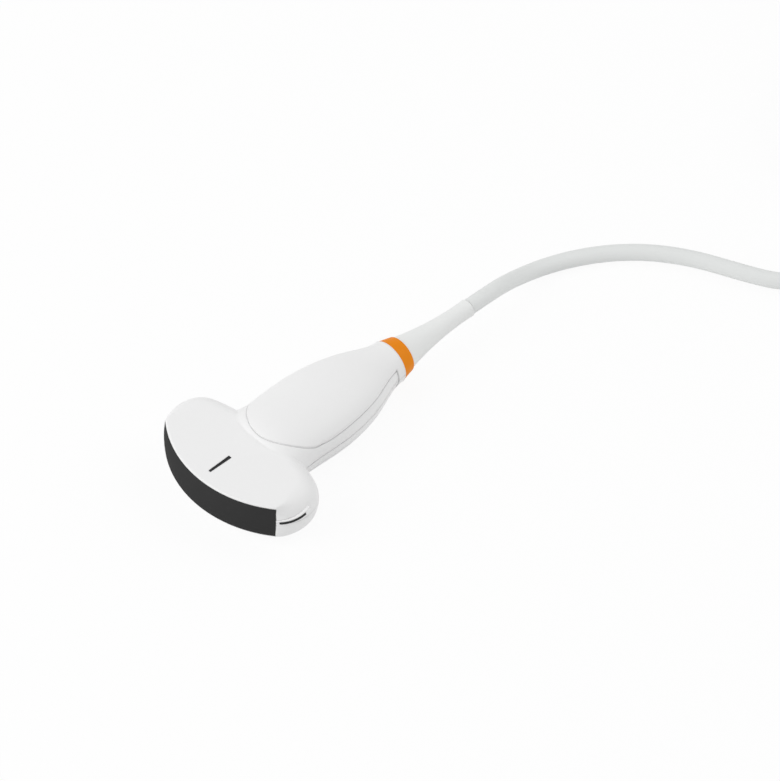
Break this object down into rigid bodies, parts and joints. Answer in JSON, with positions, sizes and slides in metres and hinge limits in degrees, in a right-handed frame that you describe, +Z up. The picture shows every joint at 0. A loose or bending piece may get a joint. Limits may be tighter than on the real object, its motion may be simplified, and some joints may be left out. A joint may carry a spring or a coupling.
{
  "type": "ultrasound transducer probe",
  "caption": "Hand-held convex ultrasound probe with a dark curved lens, white moulded handle, orange ring, strain relief boot, pale cable and a locking system connector.",
  "frame": {"origin": "on the table under the middle of the probe, without its cable", "axes": "+X from the lens along the handle to the cable, +Y across the head, +Z up out of the broad face"},
  "size_m": [0.4608, 0.132, 0.05],
  "materials": {
    "white_abs": "moulded white ABS, fine satin",
    "lens_silicone": "dark grey room temperature vulcanised silicone, matte",
    "mark_ink": "dark inlaid line, matte",
    "rib_abs": "white moulded rib, satin",
    "ring_orange": "orange moulded ring, semi gloss",
    "boot_tpe": "pale grey soft boot, matte",
    "cable_jacket": "pale grey cable jacket, satin",
    "matching_epoxy": "filled epoxy layer",
    "piezo_ceramic": "sintered ceramic with metal electrodes",
    "backing_epoxy": "loaded damping epoxy",
    "carrier_metal": "machined aluminium",
    "flex_film": "polyimide film with copper",
    "board_laminate": "glass epoxy laminate, solder mask",
    "socket_plastic": "black liquid crystal polymer",
    "frame_plastic": "grey moulded plastic",
    "lead_bundle": "bundle of fine coaxial leads",
    "clamp_brass": "crimped brass ferrule",
    "tie_strap": "black hook and loop strap",
    "connector_plastic": "pale grey moulded plastic, satin",
    "screw_steel": "zinc plated steel",
    "plate_metal": "nickel plated steel sheet",
    "contact_plastic": "black contact block with gilt pads",
    "shaft_steel": "turned stainless steel",
    "lever_plastic": "dark grey moulded lever"
  },
  "bodies": {
    "probe": {"acoustic_lens": "lens_silicone", "matching_layer": "matching_epoxy", "piezo_array": "piezo_ceramic", "backing_block": "backing_epoxy", "array_carrier": "carrier_metal", "upper_flex_circuit": "flex_film", "lower_flex_circuit": "flex_film", "board_frame": "frame_plastic", "upper_board": "board_laminate", "lower_board": "board_laminate", "board_connectors": "socket_plastic", "coax_bundle": "lead_bundle", "cable_root": "cable_jacket", "cable_clamp": "clamp_brass", "upper_housing": "white_abs", "lower_housing": "white_abs", "upper_grip_cover": "white_abs", "lower_grip_cover": "white_abs", "centre_mark": "mark_ink", "orientation_rib": "rib_abs", "index_mark": "mark_ink", "colour_ring": "ring_orange", "strain_relief_boot": "boot_tpe", "cable": "cable_jacket", "cable_coil": "cable_jacket", "coil_tie": "tie_strap", "cable_tail": "cable_jacket", "connector_boot": "boot_tpe", "connector_back_shell": "connector_plastic", "connector_front_shell": "connector_plastic", "shell_screws": "screw_steel", "face_plate": "plate_metal", "contact_block": "contact_plastic", "connector_board": "board_laminate"},
    "lock": {"lock_shaft": "shaft_steel", "lock_lever": "lever_plastic"}
  },
  "joints": [
    {"name": "lock_turn", "type": "hinge", "parent": "probe", "child": "lock", "pos_m": [0.33544, 0.00198, 0.025], "axis": [1, 0, 0], "range_deg": [0, 90]}
  ]
}
